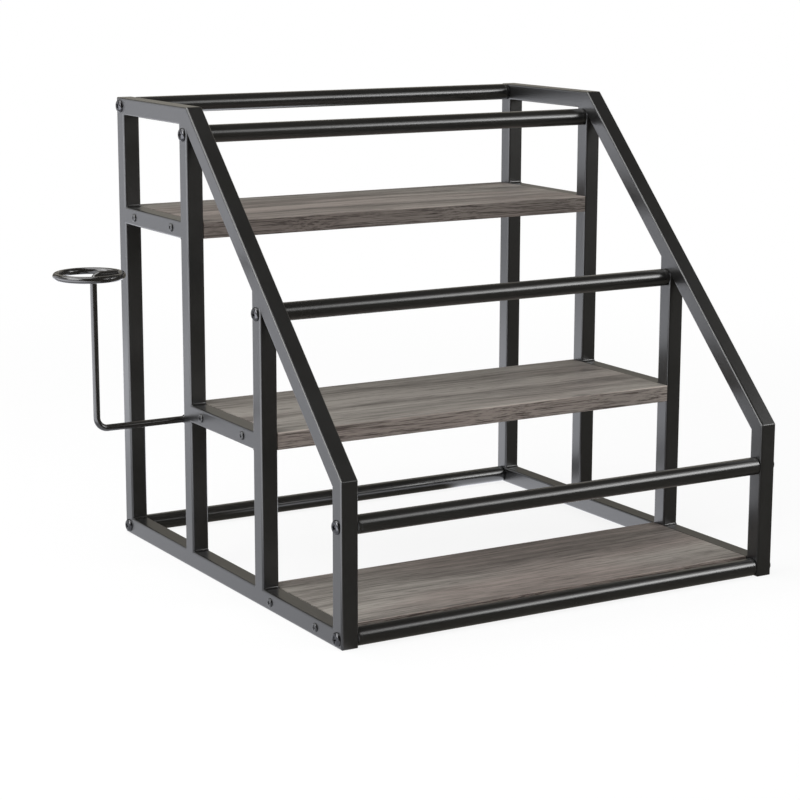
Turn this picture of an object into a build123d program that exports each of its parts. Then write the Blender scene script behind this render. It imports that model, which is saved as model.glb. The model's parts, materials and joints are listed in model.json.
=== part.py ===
from build123d import *
from math import hypot
import os

# Three tier coffee station rack. Two welded side frames of square tube are joined by six round
# bars, carry three wooden shelf boards, and a wire ring holder hangs on the left frame.
# Millimetres, +Z up, +X to the right and +Y to the back. The origin is the centre of the
# whole outline on the floor, with the ring holder counted in.

# Overall rack
rack_width = 350.0
rack_depth = 340.0
rack_height = 330.0
top_depth = 120.0
middle_reach = 110.0
front_post_height = 110.4

# Square tube of the side frames
tube_size = 12.5
tube_wall = 1.2
tube_corner = 1.5
ground_corner = 1.2

# The upper shelf surface under the rack's top, and the middle one over the floor
upper_shelf_drop = 80.0
middle_shelf_height = 120.0

# How far the bars that are not in a frame corner lie under the frame's outline
upper_bar_drop = 19.3
middle_bar_drop = 25.9
lower_bar_drop = 30.2

# Round bars and the threaded plugs in their ends
bar_diameter = 12.5
bar_wall = 1.2
plug_collar = 3.0
plug_spigot = 12.0
plug_chamfer = 1.2
plug_play = 0.05

# Shelf boards
board_thickness = 12.0
board_easing = 0.5
band_thickness = 1.0
board_bar_gap = 0.3
top_screw_inset = 28.0
middle_screw_inset = 29.25
bottom_screw_inset = 22.85

# Bar bolts
bolt_diameter = 5.0
bolt_hole = 5.6
bolt_reach = 11.0
bolt_head_diameter = 9.5
bolt_head_height = 2.1
bolt_head_flat = 5.3
bolt_recess_span = 4.4
bolt_recess_width = 1.3
bolt_recess_depth = 1.5
thread_play = 0.1

# Shelf screws
screw_diameter = 3.5
screw_hole = 4.0
screw_reach = 15.0
screw_head_diameter = 6.1
screw_head_height = 1.25
screw_head_flat = 3.6
screw_recess_span = 3.2
screw_recess_width = 0.9
screw_recess_depth = 0.9

# Ring holder
wire_diameter = 4.8
ring_wire_diameter = 4.9
holder_height = 107.3
stem_offset = 65.4
ring_rise = 108.8
ring_diameter = 45.4
ring_shift = 3.0
lower_bend = 8.0
upper_bend = 5.0
tab_thickness = 2.0
tab_width = 9.0
tab_length = 8.5
tab_corner = 2.0
tab_press = 3.5
holder_screw_diameter = 4.0
holder_screw_hole = 4.4
holder_screw_reach = 7.0
holder_head_diameter = 7.0
holder_head_height = 2.2
holder_head_flat = 4.0
holder_recess_span = 3.6
holder_recess_width = 1.0
holder_recess_depth = 1.2

# Cuts run past the faces that they open by this much
overrun = 2.0

# Places worked out from the sizes above
upper_shelf_height = rack_height - upper_shelf_drop
half_width = rack_width / 2
half_depth = rack_depth / 2
half_tube = tube_size / 2
second_front = half_depth - top_depth
third_front = second_front - middle_reach
second_back = second_front + tube_size
third_back = third_front + tube_size
rear_centre = half_depth - half_tube
second_centre = second_front + half_tube
third_centre = third_front + half_tube
front_centre = half_tube - half_depth
inner_width = rack_width - 2 * tube_size
slant_fall = rack_height - front_post_height
slant_run = second_front + half_depth
middle_slant_height = rack_height - slant_fall * (second_front - third_centre) / slant_run
board_stop = front_centre + bar_diameter / 2 + board_bar_gap
wire_radius = wire_diameter / 2
ring_wire_radius = ring_wire_diameter / 2
ring_reach = half_width + stem_offset + ring_shift + ring_diameter / 2 + ring_wire_radius
bolt_reach_out = half_width + bolt_head_height
rack_centre = (ring_reach - bolt_reach_out) / 2

# Corners of the side frame's outline, as Y and Z, going round from the front foot
outline = [
    (-half_depth, 0),
    (half_depth, 0),
    (half_depth, rack_height),
    (second_front, rack_height),
    (-half_depth, front_post_height),
]
outline_members = ["bottom_rail", "rear_post", "top_rail", "slanted_rail", "front_post"]

# Bar centres, as Y and Z
bars = {
    "rear_top_bar": (rear_centre, rack_height - half_tube),
    "upper_tier_bar": (second_centre, rack_height - upper_bar_drop),
    "middle_tier_bar": (third_centre, middle_slant_height - middle_bar_drop),
    "lower_tier_bar": (front_centre, front_post_height - lower_bar_drop),
    "front_bottom_bar": (front_centre, half_tube),
    "rear_bottom_bar": (rear_centre, half_tube),
}

# Shelf boards, as front edge, back edge, height of the surface and inset of the screws
boards = {
    "top": (second_front, half_depth, upper_shelf_height, top_screw_inset),
    "middle": (third_front, second_back, middle_shelf_height, middle_screw_inset),
    "bottom": (board_stop, third_back, tube_size, bottom_screw_inset),
}


def offset_corner(points, index, distance):
    """The corner of a polygon after its sides have moved inwards by a distance."""
    before, here = points[index - 1], points[index]
    after = points[(index + 1) % len(points)]
    lines = []
    for start, end in ((before, here), (here, after)):
        length = hypot(end[0] - start[0], end[1] - start[1])
        along = ((end[0] - start[0]) / length, (end[1] - start[1]) / length)
        foot = (here[0] - along[1] * distance, here[1] + along[0] * distance)
        lines.append((foot, along))
    (foot_a, along_a), (foot_b, along_b) = lines
    cross = along_a[0] * along_b[1] - along_a[1] * along_b[0]
    gap = (foot_b[0] - foot_a[0], foot_b[1] - foot_a[1])
    step = (gap[0] * along_b[1] - gap[1] * along_b[0]) / cross
    return foot_a[0] + along_a[0] * step, foot_a[1] + along_a[1] * step


def offset_outline(distance):
    """The frame's outline moved inwards by a distance."""
    return [offset_corner(outline, index, distance) for index in range(len(outline))]


def side_prism(points, rounding=0):
    """A side view outline, as Y and Z, extruded past both faces of a side frame."""
    face = Plane.YZ * make_face(Polyline(*points, close=True))
    prism = extrude(face, amount=half_tube + overrun, both=True)
    if rounding:
        prism = fillet(prism.edges().filter_by(Axis.X), rounding)
    return prism


def tube_run(start, end, hollow=True):
    """Square tube between two centreline points, as Y and Z, in the frame's middle plane."""
    length = hypot(end[0] - start[0], end[1] - start[1])
    plane = Plane(
        origin=(0, start[0], start[1]),
        x_dir=(1, 0, 0),
        z_dir=(0, end[0] - start[0], end[1] - start[1]),
    )
    section = RectangleRounded(tube_size, tube_size, tube_corner)
    if hollow:
        bore = tube_size - 2 * tube_wall
        section -= Rectangle(bore, bore)
    return extrude(plane * section, amount=length)


def beyond(start, end, distance):
    """The point a distance past the end of a line."""
    length = hypot(end[0] - start[0], end[1] - start[1])
    share = distance / length
    return end[0] + (end[0] - start[0]) * share, end[1] + (end[1] - start[1]) * share


def outline_tubes(hollow=True):
    """The five tubes of the frame's outline, mitred into each other and ground at the corners."""
    outer, inner, centre = outline, offset_outline(tube_size), offset_outline(half_tube)
    ground = side_prism(outer, ground_corner)
    tubes = {}
    for index, name in enumerate(outline_members):
        after = (index + 1) % len(outer)
        start = beyond(centre[after], centre[index], 2 * tube_size)
        end = beyond(centre[index], centre[after], 2 * tube_size)
        wedge = side_prism([outer[index], outer[after], inner[after], inner[index]])
        tubes[name] = tube_run(start, end, hollow) & wedge & ground
    return tubes


def inner_tubes():
    """The two inner posts and the two shelf rails, coped to the tubes that they meet."""
    solid = outline_tubes(hollow=False)
    core = side_prism(offset_outline(half_tube))
    shells, fills = {}, {}
    for name, centre in (("second_post", second_centre), ("third_post", third_centre)):
        for store, hollow in ((shells, True), (fills, False)):
            run = tube_run((centre, 0), (centre, rack_height), hollow) & core
            store[name] = run - solid["bottom_rail"] - solid["slanted_rail"] - solid["top_rail"]
    rails = {
        "upper_shelf_rail": (upper_shelf_height, rear_centre, second_centre),
        "middle_shelf_rail": (middle_shelf_height, second_centre, third_centre),
    }
    for name, (height, back, front) in rails.items():
        level = height - half_tube
        shells[name] = tube_run((front, level), (back, level))
    shells["upper_shelf_rail"] -= solid["rear_post"] + fills["second_post"]
    shells["middle_shelf_rail"] -= fills["second_post"] + fills["third_post"]
    return shells


def cross_hole(place, diameter):
    """A hole along X through a side frame, at a place given as Y and Z."""
    hole = extrude(Plane.YZ * Circle(diameter / 2), amount=half_tube + overrun, both=True)
    return Pos(0, *place) * hole


def screw_places():
    """Where the shelf screws cross a side frame, as Y and Z."""
    places = []
    for front, back, height, inset in boards.values():
        places += [(front + inset, height - half_tube), (back - inset, height - half_tube)]
    return places


def side_frame():
    """All tubes of one side frame around its own middle plane, with their holes."""
    tubes = outline_tubes() | inner_tubes()
    holes = [cross_hole(place, bolt_hole) for place in bars.values()]
    holes += [cross_hole(place, screw_hole) for place in screw_places()]
    drilled = {}
    for name, tube in tubes.items():
        for hole in holes:
            if (tube & hole).volume > 0:
                tube -= hole
        drilled[name] = tube
    return drilled


def domed_screw(head_diameter, head_height, head_flat, diameter, length, recess):
    """A screw along +X with its head's seat at X zero and a cross recess in its dome."""
    span, width, depth = recess
    rim = (0, head_diameter / 2)
    crown = (-head_height, head_flat / 2)
    outline_line = Polyline(
        crown, (-head_height, 0), (length, 0), (length, diameter / 2), (0, diameter / 2), rim
    )
    dome = TangentArc(rim, crown, tangent=(-1, 0))
    body = revolve(make_face([outline_line, dome]), Axis.X)
    floor = Plane(origin=(depth - head_height, 0, 0), x_dir=(0, 1, 0), z_dir=(-1, 0, 0))
    cross = Rectangle(span, width) + Rectangle(width, span)
    return body - extrude(floor * cross, amount=depth + overrun)


def bar_bolt():
    recess = (bolt_recess_span, bolt_recess_width, bolt_recess_depth)
    length = tube_size + bolt_reach
    return domed_screw(bolt_head_diameter, bolt_head_height, bolt_head_flat, bolt_diameter, length, recess)


def shelf_screw():
    recess = (screw_recess_span, screw_recess_width, screw_recess_depth)
    length = tube_size + screw_reach
    head = (screw_head_diameter, screw_head_height, screw_head_flat)
    return domed_screw(*head, screw_diameter, length, recess)


def end_plug():
    """Threaded plug along +X: its collar's face lies at X zero, against a side frame."""
    collar = extrude(Plane.YZ * Circle(bar_diameter / 2), amount=plug_collar)
    collar = chamfer(collar.edges().sort_by(Axis.X)[0], plug_chamfer)
    spigot_radius = bar_diameter / 2 - bar_wall - plug_play
    spigot = extrude(Plane.YZ * Circle(spigot_radius), amount=plug_collar + plug_spigot)
    thread = extrude(Plane.YZ * Circle(bolt_diameter / 2 + thread_play), amount=plug_collar + plug_spigot)
    return collar + spigot - thread


def cross_bar():
    """Round tube between the collars of its two end plugs, around the rack's middle."""
    section = Circle(bar_diameter / 2) - Circle(bar_diameter / 2 - bar_wall)
    return extrude(Plane.YZ * section, amount=inner_width / 2 - plug_collar, both=True)


def shelf_board(front, back, height, inset):
    """One board without its bands, with blind holes for its screws in both ends."""
    core_front, core_back = front + band_thickness, back - band_thickness
    middle = (core_front + core_back) / 2
    level = height - board_thickness / 2
    board = Pos(0, middle, level) * Box(inner_width, core_back - core_front, board_thickness)
    hole = extrude(Plane.YZ * Circle(screw_diameter / 2 + thread_play), amount=screw_reach + overrun)
    for place in (front + inset, back - inset):
        start = Pos(-inner_width / 2, place, height - half_tube) * hole
        board -= start
        board -= mirror(start, Plane.YZ)
    return board


def edge_band(outer, inner, height):
    """A strip on a board's long edge, with its two outer arrises eased."""
    middle = (outer + inner) / 2
    level = height - board_thickness / 2
    strip = Pos(0, middle, level) * Box(inner_width, abs(outer - inner), board_thickness)
    long_edges = strip.edges().filter_by(Axis.X)
    arrises = [edge for edge in long_edges if abs(edge.center().Y - outer) < abs(edge.center().Y - inner)]
    return fillet(arrises, board_easing)


def ring_holder():
    """Bent wire with a pressed end: rod to the left, stem up, spoke back and a level ring."""
    post_face = -half_width
    rod_y = second_back + wire_radius
    stem_x = post_face - stem_offset
    ring_x = stem_x - ring_shift
    ring_z = holder_height + ring_rise
    press_start = post_face
    press_end = press_start + tab_press
    path = FilletPolyline(
        (press_start, rod_y, holder_height),
        (stem_x, rod_y, holder_height),
        (stem_x, rod_y, ring_z),
        (ring_x + ring_diameter / 2, rod_y, ring_z),
        radius=[lower_bend, upper_bend],
    )
    start = Plane(origin=path @ 0, z_dir=path % 0)
    wire = sweep(start * Circle(wire_radius), path=path)
    ring = Pos(ring_x, rod_y, ring_z) * Torus(ring_diameter / 2, ring_wire_radius)
    tab_y = second_back + tab_thickness / 2
    round_end = Plane(origin=(press_start, rod_y, holder_height), x_dir=(0, 1, 0), z_dir=(1, 0, 0))
    flat_end = Plane(origin=(press_end, tab_y, holder_height), x_dir=(0, 1, 0), z_dir=(1, 0, 0))
    flat = Rectangle(tab_thickness, tab_width)
    pressed = loft([round_end * Circle(wire_radius), flat_end * flat])
    tab = extrude(flat_end * flat, amount=tab_length)
    far_edges = tab.edges().filter_by(Axis.Y).group_by(Axis.X)[-1]
    tab = fillet(far_edges, tab_corner)
    hole = Pos(holder_hole_x(), 0, holder_height) * extrude(
        Plane.XZ * Circle(holder_screw_hole / 2), amount=-half_depth
    )
    return wire + ring + pressed + tab - hole


def holder_hole_x():
    """Where the ring holder's screw sits along X."""
    return -half_width + tab_press + tab_length / 2


def holder_screw():
    """Screw that clamps the pressed end to the back of the left second post."""
    recess = (holder_recess_span, holder_recess_width, holder_recess_depth)
    head = (holder_head_diameter, holder_head_height, holder_head_flat)
    length = tab_thickness + holder_screw_reach
    screw = domed_screw(*head, holder_screw_diameter, length, recess)
    return Pos(holder_hole_x(), second_back + tab_thickness, holder_height) * Rot(0, 0, -90) * screw


def holder_pilot():
    """Hole for the ring holder's screw through the back wall of the left second post."""
    pilot = extrude(Plane.XZ * Circle(holder_screw_diameter / 2 + thread_play), amount=tube_wall + overrun)
    return Pos(holder_hole_x(), second_back + overrun / 2, holder_height) * pilot


def both_sides(piece, places):
    """Copies of a piece made for the left side, at each place, and their mirror images."""
    left = [Pos(0, *place) * piece for place in places]
    right = [mirror(copy, Plane.YZ) for copy in left]
    return left, right


def build():
    nodes = {}
    frame_centre = half_width - half_tube
    for name, tube in side_frame().items():
        nodes["left_" + name] = Pos(-frame_centre, 0, 0) * tube
        nodes["right_" + name] = Pos(frame_centre, 0, 0) * tube
    nodes["left_second_post"] -= holder_pilot()

    bar = cross_bar()
    for name, place in bars.items():
        nodes[name] = Pos(0, *place) * bar

    sets = {
        "bar_plugs": (end_plug(), inner_width / 2, bars.values()),
        "bar_bolts": (bar_bolt(), half_width, bars.values()),
        "shelf_screws": (shelf_screw(), half_width, screw_places()),
    }
    for name, (piece, reach, places) in sets.items():
        left, right = both_sides(Pos(-reach, 0, 0) * piece, places)
        nodes["left_" + name] = Compound(children=left)
        nodes["right_" + name] = Compound(children=right)

    for name, (front, back, height, inset) in boards.items():
        nodes[name + "_board"] = shelf_board(front, back, height, inset)
        nodes[name + "_front_band"] = edge_band(front, front + band_thickness, height)
        nodes[name + "_rear_band"] = edge_band(back, back - band_thickness, height)

    nodes["ring_holder"] = ring_holder()
    nodes["holder_screw"] = holder_screw()
    return {name: Pos(rack_centre, 0, 0) * shape for name, shape in nodes.items()}


os.makedirs("parts", exist_ok=True)
for name, shape in build().items():
    shape.label = name
    export_step(shape, f"parts/{name}.step")
    print(name, round(shape.volume, 1))
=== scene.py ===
"""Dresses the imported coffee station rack: satin black tube frames, gloss bars, grey oak shelves."""

import json
import logging
import math
from collections.abc import Sequence
from dataclasses import dataclass, field, replace
from enum import Enum

import bmesh
import bpy
from mathutils import Matrix, Vector

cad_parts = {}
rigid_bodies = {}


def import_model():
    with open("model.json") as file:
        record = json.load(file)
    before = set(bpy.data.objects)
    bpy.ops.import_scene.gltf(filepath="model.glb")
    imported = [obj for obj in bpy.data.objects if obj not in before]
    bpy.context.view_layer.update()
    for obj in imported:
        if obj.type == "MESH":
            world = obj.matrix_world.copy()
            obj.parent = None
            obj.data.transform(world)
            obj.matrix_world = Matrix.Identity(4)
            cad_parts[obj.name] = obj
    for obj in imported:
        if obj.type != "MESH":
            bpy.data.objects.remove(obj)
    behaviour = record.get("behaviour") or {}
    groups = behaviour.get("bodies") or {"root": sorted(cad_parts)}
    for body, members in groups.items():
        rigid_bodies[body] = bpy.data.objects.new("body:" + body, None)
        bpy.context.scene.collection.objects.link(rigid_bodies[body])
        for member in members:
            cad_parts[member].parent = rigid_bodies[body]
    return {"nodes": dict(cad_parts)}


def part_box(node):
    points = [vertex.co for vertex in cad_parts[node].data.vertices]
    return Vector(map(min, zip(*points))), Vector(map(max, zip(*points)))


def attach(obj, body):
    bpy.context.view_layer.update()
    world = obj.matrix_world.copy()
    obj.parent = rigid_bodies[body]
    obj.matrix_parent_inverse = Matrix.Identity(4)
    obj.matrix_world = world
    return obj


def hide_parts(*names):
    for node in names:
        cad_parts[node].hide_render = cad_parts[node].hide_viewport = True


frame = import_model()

log = logging.getLogger("rack")
Colour = tuple[float, float, float]
Point = tuple[float, float, float]
Pair = tuple[float, float]
Socket = bpy.types.NodeSocket
Node = bpy.types.Node
Mesh = bpy.types.Mesh
Object = bpy.types.Object
MM = 0.001
TUBE = 12.5 * MM
MERGE_DISTANCE = 1e-7
BODY = "root"
WHITE = (1.0, 1.0, 1.0)
ORIGIN = (0.0, 0.0, 0.0)
LEFTWARD = (-1.0, 0.0, 0.0)
BACKWARD = (0.0, 1.0, 0.0)
UPWARD = (0.0, 0.0, 1.0)
SQUARE = ((-1, -1), (1, -1), (1, 1), (-1, 1))


class Side(Enum):
    """Which end of the rack a piece belongs to, as the direction it faces along X."""

    LEFT = -1
    RIGHT = 1

    @property
    def word(self) -> str:
        """The side's name as the nodes write it."""
        return self.name.lower()

    @property
    def turn(self) -> float:
        """Turn about Z that makes a piece built for the left side face this one."""
        return 0.0 if self is Side.LEFT else math.pi


class Corner(Enum):
    """Which quarter round a weld the fillet fills, as its turn about X."""

    BACK_UP = 0.0
    FRONT_UP = math.pi / 2
    FRONT_DOWN = math.pi
    BACK_DOWN = -math.pi / 2


@dataclass(frozen=True)
class Place:
    """Where a copy stands, with its turn about X and then its turn about Z."""

    point: Point
    turn: float = 0.0
    facing: float = 0.0


class Value:
    """A shader socket that takes part in sums written as plain expressions."""

    def __init__(self, graph: "Graph", socket: Socket) -> None:
        """Wraps an output that carries a number."""
        self.graph = graph
        self.socket = socket

    def _sum(self, operation: str, *operands: "Value | float", clamp: bool = False) -> "Value":
        """Adds one Math node.

        Args:
            operation: The Math node's operation.
            operands: Its operands in order.
            clamp: Whether the result is kept between 0 and 1.

        Returns:
            The node's result.
        """
        settings = {"operation": operation, "use_clamp": clamp}
        made = self.graph.node("ShaderNodeMath", settings, dict(enumerate(operands)))
        return Value(self.graph, made.outputs[0])

    def __add__(self, other: "Value | float") -> "Value":
        """self + other."""
        return self._sum("ADD", self, other)

    __radd__ = __add__

    def __sub__(self, other: "Value | float") -> "Value":
        """self - other."""
        return self._sum("SUBTRACT", self, other)

    def __rsub__(self, other: float) -> "Value":
        """other - self."""
        return self._sum("SUBTRACT", other, self)

    def __mul__(self, other: "Value | float") -> "Value":
        """self * other."""
        return self._sum("MULTIPLY", self, other)

    __rmul__ = __mul__

    def centred(self) -> "Value":
        """The value less a half, so that noise swings both ways."""
        return self - 0.5

    def clamp(self) -> "Value":
        """The value kept between 0 and 1."""
        return self._sum("ADD", self, 0.0, clamp=True)

    def most(self, other: "Value | float") -> "Value":
        """The larger of two values."""
        return self._sum("MAXIMUM", self, other)

    def between(self, low: float, high: float) -> "Value":
        """A smooth step from 0 at low to 1 at high.

        Args:
            low: Where the step starts.
            high: Where it ends.

        Returns:
            The stepped value.
        """
        settings = {"interpolation_type": "SMOOTHSTEP"}
        inputs = {"Value": self, "From Min": low, "From Max": high}
        return Value(self.graph, self.graph.node("ShaderNodeMapRange", settings, inputs).outputs[0])


class Graph:
    """A node tree and what adds nodes to it."""

    def __init__(self, tree: bpy.types.NodeTree) -> None:
        """Empties a shader or geometry node tree and wraps it."""
        tree.nodes.clear()
        self.tree = tree

    def node(self, kind: str, settings: dict | None = None, inputs: dict | None = None) -> Node:
        """Adds a node.

        Args:
            kind: The node's type.
            settings: Its properties, set first.
            inputs: Values or links of its sockets, by name or place.

        Returns:
            The new node.
        """
        made = self.tree.nodes.new(kind)
        for name, value in (settings or {}).items():
            setattr(made, name, value)
        for key, value in (inputs or {}).items():
            source = value.socket if isinstance(value, Value) else value
            if isinstance(source, Socket):
                self.tree.links.new(source, made.inputs[key])
            else:
                made.inputs[key].default_value = source
        return made

    def value(self, socket: Socket) -> Value:
        """A socket as a value for sums."""
        return Value(self, socket)

    def noise(
        self, vector: Socket, stretch: Point, detail: float = 2.0, rough: float = 0.5, warp: float = 0.0
    ) -> Value:
        """Noise over stretched coordinates.

        Args:
            vector: The coordinates, in metres.
            stretch: How many grains go to a metre along X, Y and Z.
            detail: Octaves of finer noise.
            rough: How strong each finer octave is.
            warp: How far the noise is bent by itself.

        Returns:
            The noise, about 0 to 1.
        """
        stretched = self.node("ShaderNodeMapping", {}, {"Vector": vector, "Scale": stretch}).outputs[0]
        inputs = {"Vector": stretched, "Scale": 1.0, "Detail": detail, "Roughness": rough, "Distortion": warp}
        return self.value(self.node("ShaderNodeTexNoise", {"normalize": True}, inputs).outputs[0])

    def blend(self, amount: Value, first: Colour | Socket, second: Colour | Socket) -> Socket:
        """Mixes two colours.

        Args:
            amount: How much of the second colour shows.
            first: A colour or a socket.
            second: A colour or a socket.

        Returns:
            The mixed colour.
        """
        pair = [(*c, 1.0) if isinstance(c, tuple) else c for c in (first, second)]
        inputs = {0: amount, 6: pair[0], 7: pair[1]}
        return self.node("ShaderNodeMix", {"data_type": "RGBA"}, inputs).outputs[2]

    def beyond(self, place: Socket, start: Point | Vector, toward: Point) -> Value:
        """How far a place lies beyond a line or a plane.

        Args:
            place: The place, or a direction in the world.
            start: A point on the line or plane.
            toward: Direction across it.

        Returns:
            The signed distance.
        """
        offset = self.node("ShaderNodeVectorMath", {"operation": "SUBTRACT"}, {0: place, 1: start})
        inputs = {0: offset.outputs[0], 1: toward}
        across = self.node("ShaderNodeVectorMath", {"operation": "DOT_PRODUCT"}, inputs)
        return self.value(across.outputs["Value"])

    def rays(self) -> tuple[Value, Value]:
        """Whether a ray comes from the camera, and whether it is a reflection's."""
        path = self.node("ShaderNodeLightPath").outputs
        return self.value(path["Is Camera Ray"]), self.value(path["Is Glossy Ray"])

    def mixed(self, share: Value, first: Node, second: Node) -> Node:
        """Mixes two shaders, where the share is how much of the second one shows."""
        return self.node("ShaderNodeMixShader", {}, {0: share, 1: first.outputs[0], 2: second.outputs[0]})


class Surface(Graph):
    """The graph of a new material."""

    def __init__(self, name: str) -> None:
        """Makes the material and fetches the object's coordinates, in metres.

        Args:
            name: The material's name.
        """
        self.material = bpy.data.materials.new(name)
        self.material.use_nodes = True
        super().__init__(self.material.node_tree)
        self.place = self.node("ShaderNodeTexCoord").outputs["Object"]

    def bump(self, height: Value, depth: float, strength: float = 1.0) -> Socket:
        """The normal of a pattern from 0 to 1 as a relief of a depth in metres."""
        inputs = {"Height": height, "Distance": depth, "Strength": strength}
        return self.node("ShaderNodeBump", {}, inputs).outputs[0]

    def show(self, shader: Node) -> bpy.types.Material:
        """Gives the material its shader and returns the material."""
        self.node("ShaderNodeOutputMaterial", {}, {"Surface": shader.outputs[0]})
        return self.material


def scaled(colour: Colour, gain: float) -> Colour:
    """A colour made lighter or darker."""
    return tuple(c * gain for c in colour)


@dataclass(frozen=True)
class Finish:
    """What every finish has: a name, the record's slot, a colour and a roughness."""

    name: str
    slot: str
    colour: Colour
    roughness: float

    def material(self) -> bpy.types.Material:
        """The finish as a material, built once.

        Returns:
            The material.
        """
        made = bpy.data.materials.get(self.name)
        if made is None:
            surface = Surface(self.name)
            made = surface.show(surface.node("ShaderNodeBsdfPrincipled", {}, self.inputs(surface)))
            made.diffuse_color = (*self.colour, 1.0)
        return made

    def inputs(self, surface: Surface) -> dict[str, object]:
        """What the principled shader's sockets get, by the name of the input."""
        raise NotImplementedError


@dataclass(frozen=True)
class PaintFinish(Finish):
    """Baked black paint over steel, with its fine orange peel."""

    coat_roughness: float
    coat: float = 1.0
    peel_grain: float = 1100.0
    peel_depth: float = 8e-6
    speck_ratio: float = 2.4
    cloud_grain: float = 22.0
    cloud_share: float = 0.75
    spread: Pair = (0.3, 0.7)
    dark_gain: float = 0.8
    light_gain: float = 1.25
    mottle: float = 1.0
    cloud_wear: float = 0.08
    speck_wear: float = 0.04

    def inputs(self, surface: Surface) -> dict[str, object]:
        """The paint's colour, clouded roughness, coat and peel.

        Args:
            surface: The material's graph.

        Returns:
            Values and sockets by the name of the input.
        """
        clouds = surface.noise(surface.place, (self.cloud_grain,) * 3, detail=3.0, rough=0.55)
        specks = surface.noise(surface.place, (self.peel_grain * self.speck_ratio,) * 3, detail=1.0)
        peel = surface.noise(surface.place, (self.peel_grain,) * 3)
        tone = (clouds * self.cloud_share + specks * (1 - self.cloud_share)).between(*self.spread)
        dark, light = scaled(self.colour, self.dark_gain), scaled(self.colour, self.light_gain)
        wear = clouds.centred() * self.cloud_wear + specks.centred() * self.speck_wear
        return {
            "Base Color": surface.blend(tone, dark, light),
            "Roughness": self.roughness + wear * self.mottle,
            "Metallic": 0.0,
            "Coat Weight": self.coat,
            "Coat Roughness": self.coat_roughness,
            "Normal": surface.bump(peel, self.peel_depth),
        }


@dataclass(frozen=True)
class PlatedFinish(Finish):
    """Dark plated steel of the bolts, with faint turning marks."""

    stain_grain: float = 160.0
    stain_span: Pair = (0.35, 0.7)
    stain_gain: float = 0.72
    stain_wear: float = 0.12
    mark_stretch: Point = (2600.0, 900.0, 900.0)
    mark_wear: float = 0.06
    mark_depth: float = 2e-6

    def inputs(self, surface: Surface) -> dict[str, object]:
        """The plating's stained colour and roughness, and its marks.

        Args:
            surface: The material's graph.

        Returns:
            Values and sockets by the name of the input.
        """
        stains = surface.noise(surface.place, (self.stain_grain,) * 3, detail=3.0, rough=0.6)
        marks = surface.noise(surface.place, self.mark_stretch)
        stained = scaled(self.colour, self.stain_gain)
        wear = stains.centred() * self.stain_wear + marks.centred() * self.mark_wear
        return {
            "Base Color": surface.blend(stains.between(*self.stain_span), self.colour, stained),
            "Roughness": self.roughness + wear,
            "Metallic": 1.0,
            "Normal": surface.bump(marks, self.mark_depth),
        }


@dataclass(frozen=True)
class Grain:
    """One layer of the wood's pattern, in grains to a metre along the board and across it.

    A step sharpens the pattern, and a layer that narrows is closer across a narrow strip.
    """

    along: float
    sideways: float
    detail: float = 2.0
    rough: float = 0.5
    step: Pair | None = None
    narrows: bool = True

    def value(self, graph: Graph, place: Socket, narrowing: float, warp: float = 0.0) -> Value:
        """The layer's pattern.

        Args:
            graph: The material's graph.
            place: The coordinates that it follows.
            narrowing: How much closer a narrow strip's grain is, for a layer that follows it.
            warp: How far the pattern is bent by itself.

        Returns:
            The pattern, 0 to 1.
        """
        closeness = narrowing if self.narrows else 1.0
        stretch = (self.along, self.sideways * closeness, self.sideways * closeness)
        made = graph.noise(place, stretch, self.detail, self.rough, warp)
        return made.between(*self.step) if self.step else made


DRIFT = Grain(4.0, 9.0, narrows=False)
BANDS = Grain(2.6, 42.0, 3.0, 0.55, (0.25, 0.78))
STREAKS = Grain(8.0, 230.0, 4.0, 0.65, (0.22, 0.80))
FLECKS = Grain(24.0, 640.0, 3.0, 0.75, (0.3, 0.72))
FIBRES = Grain(42.0, 1200.0, 2.0, 0.6, narrows=False)
PORES = Grain(70.0, 900.0, 1.0, step=(0.62, 0.74))
KNOTS = Grain(34.0, 75.0, 0.0, step=(0.80, 0.86))
TINT = Grain(3.0, 13.0, step=(0.38, 0.62))
# Noise that breaks up the painted highlight along the boards' upper arrises.
ARRIS_HIGHLIGHT_BREAKUP = Grain(9.0, 9.0, 1.0, step=(0.40, 0.55), narrows=False)


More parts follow.
